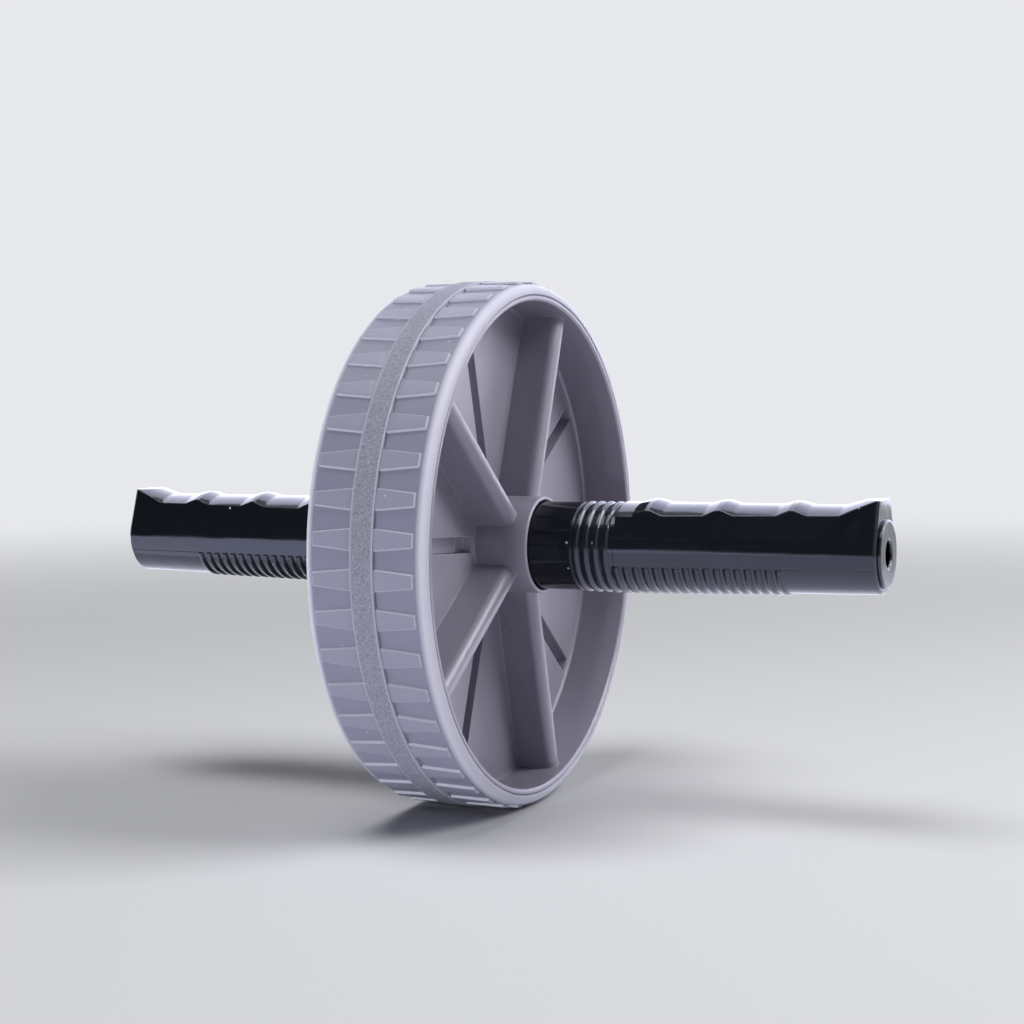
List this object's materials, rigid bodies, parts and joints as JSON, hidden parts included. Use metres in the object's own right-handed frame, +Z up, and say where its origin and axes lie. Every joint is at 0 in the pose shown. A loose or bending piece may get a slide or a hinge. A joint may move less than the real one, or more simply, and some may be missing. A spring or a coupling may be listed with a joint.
{
  "type": "ab wheel roller",
  "caption": "Exercise roller: a wide grey spoked wheel with a lugged tread turns freely on a steel axle between two black hand grips with finger grooves.",
  "frame": {"origin": "the wheel's centre, on the axle's line and midway across the tread", "axes": "+X along the axle towards the right grip, +Y the way the wheel rolls, +Z up, with the finger grooves on top"},
  "size_m": [0.2816, 0.18, 0.18],
  "materials": {
    "tyre": "satin moulded thermoplastic rubber",
    "tread_band": "stippled",
    "wheel": "satin moulded plastic",
    "grip": "gloss black",
    "plug": "gloss black",
    "bush": "natural acetal",
    "steel": "zinc plated",
    "screw": "black oxide"
  },
  "bodies": {
    "handle_bar": {"axle": "steel", "thrust_washer_right": "steel", "thrust_washer_left": "steel", "hand_grip_right": "grip", "hand_grip_left": "grip", "end_plug_right": "plug", "end_plug_left": "plug", "screw_washer_right": "steel", "screw_washer_left": "steel", "axle_screw_right": "screw", "axle_screw_left": "screw"},
    "wheel": {"tyre": "tyre", "tread_band": "tread_band", "wheel_half_right": "wheel", "wheel_half_left": "wheel", "wheel_screws": "steel", "hub_bush_right": "bush", "hub_bush_left": "bush"}
  },
  "joints": [
    {"name": "wheel_spin", "type": "hinge", "parent": "handle_bar", "child": "wheel", "pos_m": [0, 0, 0], "axis": [1, 0, 0], "continuous": true}
  ]
}
